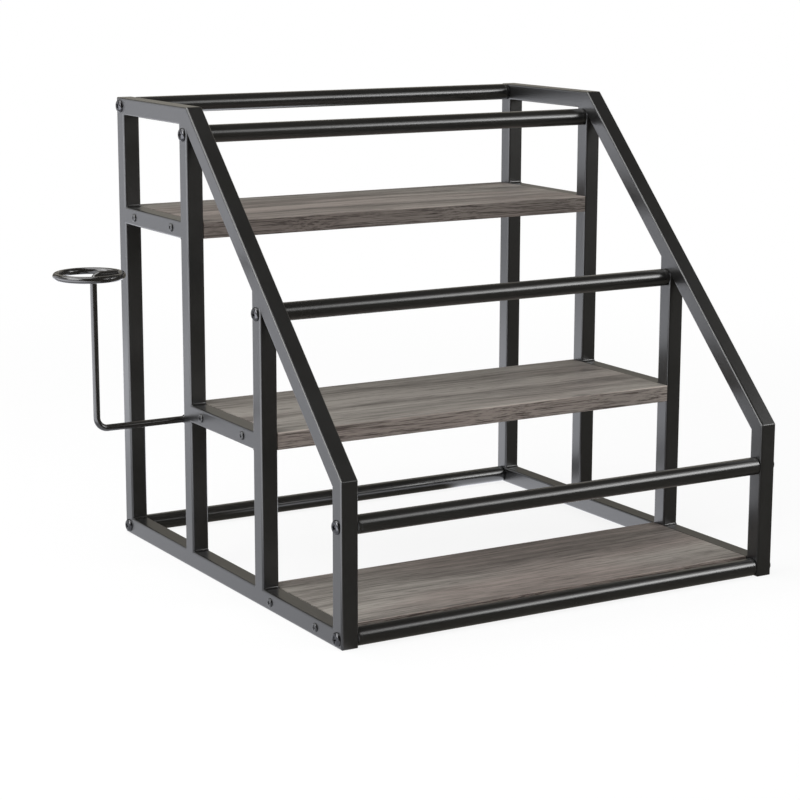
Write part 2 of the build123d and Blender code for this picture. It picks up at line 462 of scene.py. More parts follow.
@dataclass(frozen=True)
class OakFinish(Finish):
    """Grey oak grain that runs along X, as printed on the boards and their edge bands."""

    light: Colour = (0.305, 0.284, 0.257)
    dark: Colour = (0.094, 0.083, 0.075)
    warm: Colour = (0.268, 0.212, 0.193)
    warm_share: float = 0.6
    across: float = 1.0
    contrast: float = 1.0
    flecks: float = 0.85
    swirl: float = 0.4
    # Painted light and shading: a gain on all the wood's colours, which the shelves set per board.
    shade: float = 1.0
    drift_width: float = 24.0 * MM
    drift_height: float = 1.0 * MM
    middle_tone: float = 0.42
    streaks: float = 0.6
    fibres: float = 0.5
    pit_share: float = 0.5
    pit_gain: float = 0.55
    # Heights of the upper arrises that get a painted highlight, and how strong and broken up it is.
    arrises: tuple[float, ...] = ()
    arris_start: Pair = (-0.95 * MM, -0.55 * MM)
    arris_end: Pair = (0.2 * MM, 0.4 * MM)
    arris_gain: float = 1.85
    arris_share: float = 0.25
    arris_wear: float = 0.6
    streak_wear: float = 0.12
    pore_wear: float = 0.1
    gloss: float = 0.26
    relief: float = 0.06 * MM
    relief_strength: float = 0.6
    relief_shares: tuple[float, ...] = (0.6, 0.4, 0.5)

    def shaded(self, colour: Colour, gain: float = 1.0) -> Colour:
        """A colour scaled by a gain and by this piece's painted light gain."""
        return scaled(colour, gain * self.shade)

    def inputs(self, surface: Surface) -> dict[str, object]:
        """The wood's bands, streaks, fibres, flecks and pores, and a painted highlight along its upper edges.

        Args:
            surface: The material's graph.

        Returns:
            Values and sockets by the name of the input.
        """
        drift = DRIFT.value(surface, surface.place, self.across).centred()
        sideways = {"Y": drift * self.drift_width, "Z": drift * self.drift_height}
        shift = {0: surface.place, 1: surface.node("ShaderNodeCombineXYZ", {}, sideways).outputs[0]}
        along = surface.node("ShaderNodeVectorMath", {"operation": "ADD"}, shift).outputs[0]
        bands = BANDS.value(surface, along, self.across, self.swirl)
        layers = (STREAKS, FIBRES, PORES, FLECKS)
        streaks, fibres, pores, flecks = (grain.value(surface, along, self.across) for grain in layers)
        tint, knots = (grain.value(surface, surface.place, self.across) for grain in (TINT, KNOTS))
        tone = bands.centred() * self.contrast + streaks.centred() * (self.streaks * self.contrast)
        tone = tone + fibres.centred() * self.fibres + flecks.centred() * self.flecks + self.middle_tone
        tone = tone.clamp()
        light, dark, warm = (self.shaded(colour) for colour in (self.light, self.dark, self.warm))
        body = surface.blend(tone, light, dark)
        body = surface.blend(tint * self.warm_share, body, surface.blend(tone, warm, dark))
        pits = (pores * self.pit_share + knots * self.pit_share).clamp()
        body = surface.blend(pits, body, self.shaded(self.dark, self.pit_gain))
        fibre_share, streak_share, pore_share = self.relief_shares
        relief = (fibres * fibre_share + streaks * streak_share - pores * pore_share).clamp()
        return {
            "Base Color": self.edged(surface, body),
            "Roughness": self.roughness + streaks.centred() * self.streak_wear + pores * self.pore_wear,
            "Metallic": 0.0,
            "Specular IOR Level": self.gloss,
            "Normal": surface.bump(relief, self.relief, self.relief_strength),
        }

    def edged(self, surface: Surface, body: Socket) -> Socket:
        """Paints a highlight along the wood's upper arrises, broken up by noise.

        Args:
            surface: The material's graph.
            body: The wood's colour.

        Returns:
            The colour with its edges.
        """
        if not self.arrises:
            return body
        height = surface.beyond(surface.place, ORIGIN, UPWARD)
        highlight_breakup = ARRIS_HIGHLIGHT_BREAKUP.value(surface, surface.place, self.across)
        for level in self.arrises:
            start, end = ([level + offset for offset in span] for span in (self.arris_start, self.arris_end))
            # Painted highlight: a lighter line just below each arris.
            lit = height.between(*start) * (1 - height.between(*end))
            amount = lit * (self.arris_share + self.arris_wear * highlight_breakup)
            body = surface.blend(amount, body, self.shaded(self.light, self.arris_gain))
        return body


SMOOTH = {"peel_grain": 240.0, "peel_depth": 1e-6, "mottle": 0.3}
FRAME_PAINT = PaintFinish("Satin black frame paint", "frame_tube", (0.0085, 0.0085, 0.0085), 0.32, 0.22)
BAR_PAINT = PaintFinish("Gloss black bar paint", "bar", (0.008, 0.0078, 0.0074), 0.28, 0.18, **SMOOTH)
WIRE_PAINT = PaintFinish(
    "Gloss black wire paint", "holder_wire", (0.009, 0.008, 0.0072), 0.22, 0.07, **SMOOTH
)
BOLT_PLATING = PlatedFinish("Black nickel bolt plating", "bolt", (0.095, 0.095, 0.1), 0.16)
SCREW_COATING = PaintFinish("Satin black screw coating", "screw", (0.0085, 0.0085, 0.009), 0.36, 0.25)
BOARD_FACE = OakFinish("Grey oak board face", "board_face", (0.17, 0.16, 0.15), 0.48)
BOARD_EDGE = OakFinish(
    "Brown oak edge band",
    "board_edge",
    (0.16, 0.13, 0.12),
    0.46,
    light=(0.335, 0.295, 0.264),
    dark=(0.095, 0.076, 0.067),
    warm=(0.285, 0.218, 0.193),
    warm_share=0.5,
    across=2.2,
    contrast=0.7,
    flecks=2.6,
    swirl=0.0,
    # The bands of the top and middle boards get a painted highlight along their upper arrises.
    arrises=tuple(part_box(f"{level}_board")[1].z for level in ("top", "middle")),
)


def plain_mesh(name: str, verts: Sequence[Point], faces: Sequence[Sequence[int]]) -> Mesh:
    """A mesh with its doubles merged and its faces turned outwards.

    Args:
        name: The mesh's name.
        verts: Its points in metres.
        faces: Its faces as point numbers.

    Returns:
        The mesh.
    """
    mesh = bpy.data.meshes.new(name)
    mesh.from_pydata([Vector(v) for v in verts], [], faces)
    work = bmesh.new()
    work.from_mesh(mesh)
    bmesh.ops.remove_doubles(work, verts=work.verts, dist=MERGE_DISTANCE)
    bmesh.ops.recalc_face_normals(work, faces=work.faces)
    work.to_mesh(mesh)
    work.free()
    return mesh


def loft(name: str, rings: Sequence[Sequence[Point]]) -> Mesh:
    """A closed skin over rings of equal length, capped at both ends.

    Args:
        name: The mesh's name.
        rings: The rings, in order.

    Returns:
        The mesh.
    """
    count = len(rings[0])
    verts = [point for ring in rings for point in ring]
    faces = [list(range(count)), list(range(len(verts) - count, len(verts)))]
    for start in range(0, len(verts) - count, count):
        for i in range(count):
            j = (i + 1) % count
            faces.append([start + i, start + j, start + count + j, start + count + i])
    return plain_mesh(name, verts, faces)


def lathe(name: str, outline: Sequence[Pair], segments: int) -> Mesh:
    """A turned body round the X axis, from places along it with a radius above zero each."""
    angles = [2 * math.pi * i / segments for i in range(segments)]
    return loft(name, [[(x, r * math.cos(a), r * math.sin(a)) for a in angles] for x, r in outline])


def quarter(steps: int, first: int = 0) -> list[float]:
    """Angles up to a quarter turn in equal steps, from the given step on."""
    return [math.pi / 2 * step / steps for step in range(first, steps + 1)]


def soften(mesh: Mesh, degrees: float = 32.0) -> None:
    """Shades a mesh smooth but for edges sharper than an angle."""
    mesh.shade_smooth()
    mesh.set_sharp_from_angle(angle=math.radians(degrees))


def new_object(name: str, data: bpy.types.ID) -> Object:
    """A mesh, a lamp or a camera as an object of the scene.

    Args:
        name: The object's name.
        data: What it shows.

    Returns:
        The object, at the origin.
    """
    made = bpy.data.objects.new(name, data)
    bpy.context.scene.collection.objects.link(made)
    return made


def settled(obj: Object, name: str) -> Mesh:
    """What an object's modifiers give, as a plain mesh.

    Args:
        obj: The object.
        name: The new mesh's name.

    Returns:
        The mesh.
    """
    bpy.context.view_layer.update()
    graph = bpy.context.evaluated_depsgraph_get()
    shape = obj.evaluated_get(graph)
    mesh = bpy.data.meshes.new_from_object(shape, preserve_all_data_layers=False, depsgraph=graph)
    mesh.name = name
    return mesh


def discard(*objects: Object) -> None:
    """Removes helper objects from the file."""
    for obj in objects:
        bpy.data.objects.remove(obj)


def hand_over(obj: Object, finish: Finish, nodes: Sequence[str] = ()) -> None:
    """Ties a finished piece to the frame.

    Args:
        obj: The piece.
        finish: Its finish.
        nodes: The nodes that it stands for.
    """
    if not obj.data.materials:
        obj.data.materials.append(finish.material())
    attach(obj, BODY)
    if nodes:
        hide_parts(*nodes)
    log.info("%s: %d faces, stands for %s", obj.name, len(obj.data.polygons), list(nodes) or "nothing")


def dress(node: str, finish: Finish) -> None:
    """Gives a node its finish and leaves its shape alone.

    Args:
        node: The node's name.
        finish: The finish.
    """
    mesh = frame["nodes"][node].data
    mesh.materials.clear()
    mesh.materials.append(finish.material())
    log.info("%s: %s", node, finish.name)


class Sockets:
    """Names and identifiers of a geometry tree's inputs."""

    def __init__(self, tree: bpy.types.GeometryNodeTree) -> None:
        """Starts with no inputs."""
        self.tree = tree
        self.ids: dict[str, str] = {}

    def add(self, name: str, kind: str, **settings: object) -> None:
        """Adds a named input.

        Args:
            name: Its name.
            kind: Its socket type.
            settings: Its properties.
        """
        made = self.tree.interface.new_socket(name, in_out="INPUT", socket_type=kind)
        for word, value in settings.items():
            setattr(made, word, value)
        self.ids[name] = made.identifier

    def fit(self, obj: Object, **values: object) -> None:
        """Puts the tree on an object as a modifier and sets its inputs.

        Args:
            obj: The object.
            values: Values of the inputs, their names with underscores.
        """
        modifier = obj.modifiers.new(self.tree.name, "NODES")
        modifier.node_group = self.tree
        for word, value in values.items():
            modifier[self.ids[word.replace("_", " ").title()]] = value


def start_tree(name: str) -> tuple[Graph, Sockets, Node]:
    """An empty geometry tree with its geometry input and output.

    Args:
        name: The tree's name.

    Returns:
        The graph, its inputs and the group input node.
    """
    tree = bpy.data.node_groups.new(name, "GeometryNodeTree")
    graph = Graph(tree)
    sockets = Sockets(tree)
    sockets.add("Geometry", "NodeSocketGeometry")
    tree.interface.new_socket("Geometry", in_out="OUTPUT", socket_type="NodeSocketGeometry")
    return graph, sockets, graph.node("NodeGroupInput")


def finish_tree(graph: Graph, shape: Socket, finish: Socket) -> None:
    """Makes a tree's shape real, gives it its material and hands it out.

    Args:
        graph: The tree's graph.
        shape: The shape.
        finish: The material.
    """
    solid = graph.node("GeometryNodeRealizeInstances", {}, {"Geometry": shape})
    dressed = {"Geometry": solid.outputs[0], "Material": finish}
    graph.node("NodeGroupOutput", {}, {0: graph.node("GeometryNodeSetMaterial", {}, dressed).outputs[0]})


@dataclass
class Repeater:
    """Sets a piece at every marked place, each with its own turn."""

    seed: int = 7
    marks: tuple[str, ...] = ("turn", "facing")
    sockets: Sockets = field(init=False)

    def __post_init__(self) -> None:
        """Builds the tree."""
        graph, self.sockets, entry = start_tree("Set pieces at places")
        self.sockets.add("Piece", "NodeSocketObject")
        self.sockets.add("Loose Turn", "NodeSocketFloat")
        self.sockets.add("Seed", "NodeSocketInt", default_value=self.seed)
        self.sockets.add("Finish", "NodeSocketMaterial")
        given = entry.outputs
        chosen = {"Object": given["Piece"]}
        piece = graph.node("GeometryNodeObjectInfo", {"transform_space": "ORIGINAL"}, chosen)
        inputs = {3: given["Loose Turn"], "Seed": given["Seed"]}
        loose = graph.node("FunctionNodeRandomValue", {"data_type": "FLOAT"}, inputs)
        turn, facing = (
            graph.node("GeometryNodeInputNamedAttribute", {"data_type": "FLOAT"}, {"Name": mark}).outputs[0]
            for mark in self.marks
        )
        whole = graph.value(turn) + graph.value(loose.outputs[1])
        angles = graph.node("ShaderNodeCombineXYZ", {}, {"X": whole, "Z": facing})
        set_out = {
            "Points": given["Geometry"],
            "Instance": piece.outputs["Geometry"],
            "Rotation": graph.node("FunctionNodeEulerToRotation", {}, {0: angles.outputs[0]}).outputs[0],
        }
        placed = graph.node("GeometryNodeInstanceOnPoints", {}, set_out)
        finish_tree(graph, placed.outputs[0], given["Finish"])

    def place(
        self, name: str, mesh: Mesh, finish: Finish, places: Sequence[Place], loose_turn: float = 0.0
    ) -> Object:
        """Sets copies of a mesh at places and joins them as one plain piece.

        Args:
            name: The piece's name.
            mesh: The mesh of one copy, built for the left side.
            finish: Its finish.
            places: Where the copies stand.
            loose_turn: Largest random turn about X.

        Returns:
            The piece, without a modifier.
        """
        marks = bpy.data.meshes.new(name + "_marks")
        marks.from_pydata([Vector(place.point) for place in places], [], [])
        for mark in self.marks:
            values = [getattr(place, mark) for place in places]
            marks.attributes.new(mark, "FLOAT", "POINT").data.foreach_set("value", values)
        single = new_object(name + "_single", mesh)
        holder = new_object(name + "_places", marks)
        self.sockets.fit(holder, piece=single, loose_turn=loose_turn, finish=finish.material())
        made = settled(holder, name)
        discard(holder, single)
        for mark in self.marks:
            if mark in made.attributes:
                made.attributes.remove(made.attributes[mark])
        return new_object(name, made)


@dataclass
class WireBender:
    """Bends a wire along a path of corners and closes a ring at its end."""

    sides: int = 24
    bend_steps: int = 14
    ring_steps: int = 96
    sockets: Sockets = field(init=False)

    def __post_init__(self) -> None:
        """Builds the tree."""
        graph, self.sockets, entry = start_tree("Bend a wire with a ring")
        for name in ("Wire Radius", "Lower Bend", "Upper Bend", "Ring Radius", "Ring Wire Radius"):
            self.sockets.add(name, "NodeSocketFloat")
        self.sockets.add("Ring Centre", "NodeSocketVector")
        self.sockets.add("Finish", "NodeSocketMaterial")
        given = entry.outputs
        path = graph.node("GeometryNodeMeshToCurve", {}, {"Mesh": given["Geometry"]})
        second = {2: graph.node("GeometryNodeInputIndex").outputs[0], 3: 1}
        first = graph.node("FunctionNodeCompare", {"data_type": "INT", "operation": "EQUAL"}, second)
        choice = {"Switch": first.outputs[0], "False": given["Upper Bend"], "True": given["Lower Bend"]}
        bend = graph.node("GeometryNodeSwitch", {"input_type": "FLOAT"}, choice)
        rounding = {"Curve": path.outputs[0], "Radius": bend.outputs[0], "Limit Radius": True}
        bent = graph.node("GeometryNodeFilletCurve", {"mode": "POLY"}, {**rounding, "Count": self.bend_steps})
        stem = self._skin(graph, bent.outputs[0], given["Wire Radius"], True)
        circle = {"Resolution": self.ring_steps, "Radius": given["Ring Radius"]}
        loop = graph.node("GeometryNodeCurvePrimitiveCircle", {"mode": "RADIUS"}, circle)
        lifted = {"Geometry": loop.outputs[0], "Translation": given["Ring Centre"]}
        level = graph.node("GeometryNodeTransform", {}, lifted)
        ring = self._skin(graph, level.outputs[0], given["Ring Wire Radius"], False)
        both = graph.node("GeometryNodeJoinGeometry")
        for part in (stem, ring):
            graph.tree.links.new(part, both.inputs[0])
        rounded = {"Geometry": both.outputs[0], "Shade Smooth": True}
        smooth = graph.node("GeometryNodeSetShadeSmooth", {}, rounded)
        finish_tree(graph, smooth.outputs[0], given["Finish"])

    def _skin(self, graph: Graph, curve: Socket, radius: Socket, capped: bool) -> Socket:
        """A round skin along a curve.

        Args:
            graph: The tree's graph.
            curve: The curve.
            radius: The wire's radius.
            capped: Whether its ends are closed.

        Returns:
            The mesh socket.
        """
        profile = {"Resolution": self.sides, "Radius": radius}
        circle = graph.node("GeometryNodeCurvePrimitiveCircle", {"mode": "RADIUS"}, profile)
        inputs = {"Curve": curve, "Profile Curve": circle.outputs[0], "Fill Caps": capped}
        return graph.node("GeometryNodeCurveToMesh", {}, inputs).outputs[0]

    def bend(self, name: str, path: Sequence[Point], finish: Finish, **sizes: object) -> Object:
        """Bends one wire.

        Args:
            name: The piece's name.
            path: The path's corners.
            finish: Its finish.
            sizes: The tree's inputs.

        Returns:
            The piece, without a modifier.
        """
        line = bpy.data.meshes.new(name + "_path")
        line.from_pydata([Vector(p) for p in path], [(i, i + 1) for i in range(len(path) - 1)], [])
        holder = new_object(name + "_route", line)
        self.sockets.fit(holder, finish=finish.material(), **sizes)
        made = settled(holder, name)
        discard(holder)
        return new_object(name, made)


@dataclass
class Head:
    """A domed screw head on its shank, facing left from X zero.

    The crown is the width of its flat top, and span, width and depth are those of its cross recess.
    """

    diameter: float
    height: float
    crown: float
    shank: float
    length: float
    span: float
    width: float
    depth: float
    rim: float = 0.12 * MM
    undercut: float = 0.15 * MM
    overrun: float = 0.6 * MM
    point_share: float = 0.35
    chamfer_share: float = 0.2
    centre_share: float = 0.2
    mouth_share: float = 1.16
    floor_share: float = 0.62
    segments: int = 48
    dome_steps: int = 9

    def mesh(self, name: str) -> Mesh:
        """The head, its shank and its recess.

        Args:
            name: The mesh's name.

        Returns:
            The mesh.
        """
        outline = [(self.length, self.shank * self.point_share)]
        outline += [(self.length - self.shank * self.chamfer_share, self.shank / 2)]
        outline += [(0.0, self.shank / 2), (0.0, self.diameter / 2 - self.undercut)]
        for angle in quarter(self.dome_steps):
            radius = self.crown / 2 + (self.diameter - self.crown) / 2 * math.cos(angle)
            outline.append((-self.rim - (self.height - self.rim) * math.sin(angle), radius))
        outline.append((-self.height, self.crown * self.centre_share))
        body = new_object(name + "_body", lathe(name + "_body", outline, self.segments))
        cutter = new_object(name + "_cutter", self._cross(name + "_cross"))
        cut = body.modifiers.new("Recess", "BOOLEAN")
        cut.operation, cut.solver, cut.object = "DIFFERENCE", "EXACT", cutter
        made = settled(body, name)
        discard(body, cutter)
        soften(made)
        return made

    def _cross(self, name: str) -> Mesh:
        """The recess as a solid whose walls narrow towards its floor.

        Args:
            name: The mesh's name.

        Returns:
            The mesh.
        """
        rings = []
        top, floor = -self.height - self.overrun, self.depth - self.height
        for x, share in ((top, self.mouth_share), (-self.height, 1.0), (floor, self.floor_share)):
            a, b = self.span / 2 * share, self.width / 2 * share
            flat = [(a, b), (b, b), (b, a), (-b, a), (-b, b), (-a, b)]
            flat += [(-y, -z) for y, z in flat]
            rings.append([(x, y, z) for y, z in flat])
        return loft(name, rings)


BOLT = Head(
    diameter=9.5 * MM,
    height=2.1 * MM,
    crown=5.2 * MM,
    shank=5.0 * MM,
    length=20.0 * MM,
    span=4.6 * MM,
    width=1.3 * MM,
    depth=1.5 * MM,
)
SHELF_SCREW = Head(
    diameter=6.1 * MM,
    height=1.1 * MM,
    crown=4.5 * MM,
    shank=3.5 * MM,
    length=24.0 * MM,
    span=3.3 * MM,
    width=0.95 * MM,
    depth=0.85 * MM,
)
HOLDER_SCREW = Head(
    diameter=7.0 * MM,
    height=2.2 * MM,
    crown=4.0 * MM,
    shank=4.0 * MM,
    length=9.0 * MM,
    span=3.6 * MM,
    width=1.0 * MM,
    depth=1.2 * MM,
)


@dataclass
class FastenerSet:
    """All heads of one kind on both outer faces of the rack, at their places along Y and Z."""

    kind: str
    head: Head
    finish: Finish
    places: list[Pair]
    loose_turn: float = math.pi

    def build(self, repeater: Repeater) -> None:
        """Sets the heads of each side and replaces their nodes.

        Args:
            repeater: What sets them out.
        """
        for side in Side:
            low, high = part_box(f"{side.word}_rear_post")
            face = low.x if side is Side.LEFT else high.x
            places = [Place((face, y, z), facing=side.turn) for y, z in self.places]
            name = f"{side.word}_{self.kind}"
            mesh = self.head.mesh(name + "_head")
            piece = repeater.place(f"{name}_set", mesh, self.finish, places, self.loose_turn)
            hand_over(piece, self.finish, [name])


@dataclass
class CrossBars:
    """The six round bars with the collars that close their ends."""

    diameter: float = 12.5 * MM
    rounding: float = 1.2 * MM
    rounding_steps: int = 8
    collar: float = 3.0 * MM
    seam: float = 0.08 * MM
    segments: int = 64
    crease: float = 40.0
    nodes: tuple[str, ...] = (
        "rear_top_bar",
        "upper_tier_bar",
        "middle_tier_bar",
        "lower_tier_bar",
        "front_bottom_bar",
        "rear_bottom_bar",
    )

    def centre(self, node: str) -> Pair:
        """The Y and Z of a bar's centre line."""
        low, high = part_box(node)
        return (low.y + high.y) / 2, (low.z + high.z) / 2

    def outline(self, half: float) -> list[Pair]:
        """One half of a bar's outline, from its end to its middle.

        Args:
            half: Half the bar's length.

        Returns:
            Places along X with their radius.
        """
        radius = self.diameter / 2
        points = [(-half, radius - self.rounding)]
        for angle in quarter(self.rounding_steps, 1):
            x = -half + self.rounding * (1 - math.cos(angle))
            points.append((x, radius - self.rounding * (1 - math.sin(angle))))
        joint = -half + self.collar
        points += [(joint - self.seam, radius), (joint, radius - self.seam), (joint + self.seam, radius)]
        return points

    def build(self, repeater: Repeater) -> None:
        """Turns each bar, sets it at its place and replaces its node, the first one the plugs' too.

        Args:
            repeater: What sets them out.
        """
        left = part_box("left_rear_post")[1].x
        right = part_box("right_rear_post")[0].x
        left_half = self.outline((right - left) / 2)
        outline = left_half + [(-x, r) for x, r in reversed(left_half)]
        for node in self.nodes:
            mesh = lathe(node + "_turned", outline, self.segments)
            soften(mesh, self.crease)
            middle = Place(((left + right) / 2, *self.centre(node)))
            piece = repeater.place(node + "_finished", mesh, BAR_PAINT, [middle])
            stands_for = [node]
            if node == self.nodes[0]:
                stands_for += [f"{side.word}_bar_plugs" for side in Side]
            hand_over(piece, BAR_PAINT, stands_for)


@dataclass
class SideFrames:
    """The two welded tube frames: their tubes keep their shape, their welds get fillets."""

    weld: float = 1.5 * MM
    sunk: float = 0.2 * MM
    run_out: tuple[Pair, ...] = ((0.25 * MM, 0.25), (1.0 * MM, 0.7), (2.0 * MM, 1.0))
    arc_steps: int = 8
    crease: float = 50.0
    members: tuple[str, ...] = (
        "rear_post",
        "second_post",
        "third_post",
        "front_post",
        "bottom_rail",
        "top_rail",
        "slanted_rail",
        "upper_shelf_rail",
        "middle_shelf_rail",
    )
    shelf_spans: tuple[tuple[str, str, str], ...] = (
        ("upper_shelf_rail", "rear_post", "second_post"),
        ("middle_shelf_rail", "second_post", "third_post"),
    )

    def fillet(self, name: str) -> Mesh:
        """A hollow weld fillet along X that fills the quarter behind and above the origin.

        It runs out towards both faces of the tube, where run_out gives the way in and the share of its leg.

        Args:
            name: The mesh's name.

        Returns:
            The mesh.
        """
        rings = []
        ends = [(TUBE / 2 - way_in, share) for way_in, share in self.run_out]
        for x, share in [(-x, share) for x, share in ends] + ends[::-1]:
            leg = self.weld * share
            ring = [(x, -self.sunk, -self.sunk), (x, leg, -self.sunk)]
            for angle in quarter(self.arc_steps):
                ring.append((x, leg * (1 - math.sin(angle)), leg * (1 - math.cos(angle))))
            ring.append((x, -self.sunk, leg))
            rings.append(ring)
        mesh = loft(name, rings)
        soften(mesh, self.crease)
        return mesh

    def corners(self, side: Side) -> list[Place]:
        """Where the welds of one frame are.

        Args:
            side: Which frame.

        Returns:
            Each weld's place.
        """
        boxes = {word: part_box(f"{side.word}_{word}") for word in self.members}
        low, high = boxes["rear_post"]
        middle = (low.x + high.x) / 2
        floor = boxes["bottom_rail"][1].z
        roof = boxes["top_rail"][0].z
        made = []
        for word in ("rear_post", "second_post", "third_post"):
            made.append((boxes[word][0].y, floor, Corner.FRONT_UP))
        for word in ("second_post", "third_post", "front_post"):
            made.append((boxes[word][1].y, floor, Corner.BACK_UP))
        made.append((boxes["rear_post"][0].y, roof, Corner.FRONT_DOWN))
        for rail, back, front in self.shelf_spans:
            under, over = boxes[rail][0].z, boxes[rail][1].z
            y_back, y_front = boxes[back][0].y, boxes[front][1].y
            made += [(y_back, over, Corner.FRONT_UP), (y_back, under, Corner.FRONT_DOWN)]
            made += [(y_front, over, Corner.BACK_UP), (y_front, under, Corner.BACK_DOWN)]
        return [Place((middle, y, z), corner.value) for y, z, corner in made]

    def build(self, repeater: Repeater) -> None:
        """Dresses the tubes and sets the welds.

        Args:
            repeater: What sets them out.
        """
        for side in Side:
            for word in self.members:
                dress(f"{side.word}_{word}", FRAME_PAINT)
            mesh = self.fillet(f"{side.word}_weld")
            welds = repeater.place(f"{side.word}_weld_fillets", mesh, FRAME_PAINT, self.corners(side))
            hand_over(welds, FRAME_PAINT)


@dataclass(frozen=True)
class Board:
    """One shelf: its level, how far in its screws sit, its face's grain contrast, and the painted light and
    shading given to its face and bands.
    """

    level: str
    screw_inset: float
    shade: float
    contrast: float
    band_shade: float


@dataclass
class Shelves:
    """The three boards with their edge bands."""

    # The first and last gains are painted light and shading: the bottom face is lightened and the top band
    # darkened to follow how light falls on each level.
    boards: tuple[Board, ...] = (
        Board("top", 28.0 * MM, 0.87, 1.35, 0.55),
        Board("middle", 29.25 * MM, 0.98, 1.0, 0.82),
        Board("bottom", 22.85 * MM, 1.06, 0.8, 1.05),
    )

    def screw_places(self) -> list[Pair]:
        """Where the screws enter the boards' ends.

        Returns:
            Each screw's Y and Z.
        """
        places = []
        for board in self.boards:
            level, inset = board.level, board.screw_inset
            front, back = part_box(f"{level}_front_band")[0].y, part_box(f"{level}_rear_band")[1].y
            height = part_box(f"{level}_board")[1].z - TUBE / 2
            places += [(front + inset, height), (back - inset, height)]
        return places

    def build(self) -> None:
        """Dresses the boards and their bands."""
        for board in self.boards:
            face_name, band_name = (f"{finish.name}, {board.level}" for finish in (BOARD_FACE, BOARD_EDGE))
            # The face and bands take their board's painted light and shading.
            face = replace(BOARD_FACE, name=face_name, shade=board.shade, contrast=board.contrast)
            band = replace(BOARD_EDGE, name=band_name, shade=board.band_shade)
            dress(f"{board.level}_board", face)
            dress(f"{board.level}_front_band", band)
            dress(f"{board.level}_rear_band", band)


@dataclass
class RingHolder:
    """The bent wire that carries a level ring, with its pressed end and its screw."""

    wire: float = 4.8 * MM
    ring_wire: float = 4.9 * MM
    ring: float = 45.4 * MM
    height: float = 107.3 * MM
    rise: float = 108.8 * MM
    stem_offset: float = 65.4 * MM
    ring_shift: float = 3.0 * MM
    lower_bend: float = 8.0 * MM
    upper_bend: float = 5.0 * MM
    lead: float = 0.4 * MM
    press: float = 3.5 * MM
    press_steps: int = 6
    tab_length: float = 8.5 * MM
    tab_width: float = 9.0 * MM
    tab_thickness: float = 2.0 * MM
    tip_share: float = 0.28
    tip_taper: float = 0.8
    tip_steps: int = 8
    tip_overlap: float = 0.1 * MM
    round_power: float = 2.0
    flat_power: float = 8.0
    crease: float = 38.0
    screw_turn: float = 0.6
    sides: int = 32

    def build(self, bender: WireBender, repeater: Repeater) -> None:
        """Bends the wire, forms its pressed end and sets its screw.

        Args:
            bender: What bends it.
            repeater: What sets the screw.
        """
        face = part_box("left_rear_post")[0].x
        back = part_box("left_second_post")[1].y
        y = back + self.wire / 2
        stem = face - self.stem_offset
        ring_x = stem - self.ring_shift
        level = self.height + self.rise
        path = [(face + self.lead, y, self.height), (stem, y, self.height), (stem, y, level)]
        path.append((ring_x + self.ring / 2, y, level))
        sizes = {
            "wire_radius": self.wire / 2,
            "lower_bend": self.lower_bend,
            "upper_bend": self.upper_bend,
            "ring_radius": self.ring / 2,
            "ring_wire_radius": self.ring_wire / 2,
            "ring_centre": (ring_x, y, level),
        }
        wire = bender.bend("ring_holder_wire", path, WIRE_PAINT, **sizes)
        hand_over(wire, WIRE_PAINT, ["ring_holder"])
        tab = new_object("ring_holder_tab", self.tab_mesh("ring_holder_tab", face, back))
        hand_over(tab, WIRE_PAINT)
        seat = (face + self.press + self.tab_length / 2, back + self.tab_thickness, self.height)
        place = Place(seat, self.screw_turn, -math.pi / 2)
        mesh = HOLDER_SCREW.mesh("holder_screw_head")
        screw = repeater.place("holder_screw_set", mesh, SCREW_COATING, [place])
        hand_over(screw, SCREW_COATING, ["holder_screw"])

    def tab_mesh(self, name: str, face: float, back: float) -> Mesh:
        """The pressed end, from the round wire to a flat tongue with a round tip.

        Args:
            name: The mesh's name.
            face: The frame's outer face along X.
            back: The post's back face along Y.

        Returns:
            The mesh.
        """
        rings = []
        flat_start, end = face + self.press, face + self.press + self.tab_length
        tip = self.tab_width * self.tip_share
        for step in range(self.press_steps + 1):
            share = step / self.press_steps
            ease = share * share * (3 - 2 * share)
            thick = self.wire + (self.tab_thickness - self.wire) * ease
            wide = self.wire + (self.tab_width - self.wire) * ease
            power = self.round_power + (self.flat_power - self.round_power) * ease
            rings.append(self._ring(face + self.press * share, back, thick, wide, power))
        for angle in quarter(self.tip_steps, 1):
            x = max(end - tip + tip * math.sin(angle), flat_start + self.tip_overlap)
            wide = self.tab_width - tip * 2 * (1 - math.cos(angle)) * self.tip_taper
            rings.append(self._ring(x, back, self.tab_thickness, wide, self.flat_power))
        mesh = loft(name, rings)
        soften(mesh, self.crease)
        return mesh

    def _ring(self, x: float, back: float, thick: float, wide: float, power: float) -> list[Point]:
        """One section of the pressed end, lying on the post's back face.

        Args:
            x: Its place along X.
            back: The post's back face.
            thick: Its thickness along Y.
            wide: Its width along Z.
            power: 2 for an ellipse, more for a squarer shape.

        Returns:
            Its points.
        """
        points = []
        for i in range(self.sides):
            angle = 2 * math.pi * i / self.sides
            c, s = math.cos(angle), math.sin(angle)
            size = (abs(c) ** power + abs(s) ** power) ** (-1 / power)
            y = back + thick / 2 + thick / 2 * c * size
            points.append((x, y, self.height + wide / 2 * s * size))
        return points


@dataclass(frozen=True)
class Lamp:
    """A soft rectangular lamp that faces the rack's middle, of a power in watts."""

    name: str
    toward: Point
    distance: float
    size: Pair
    power: float
    aim: Point = (0.0, 0.0, 0.16)

    def hang(self) -> None:
        """Hangs the lamp, unseen by the camera."""
        data = bpy.data.lights.new(self.name, "AREA")
        data.shape, data.size, data.size_y, data.energy = "RECTANGLE", *self.size, self.power
        made = new_object(self.name, data)
        away = Vector(self.toward).normalized()
        made.rotation_euler = away.to_track_quat("Z", "Y").to_euler()
        made.location = Vector(self.aim) + away * self.distance
        made.visible_camera = False


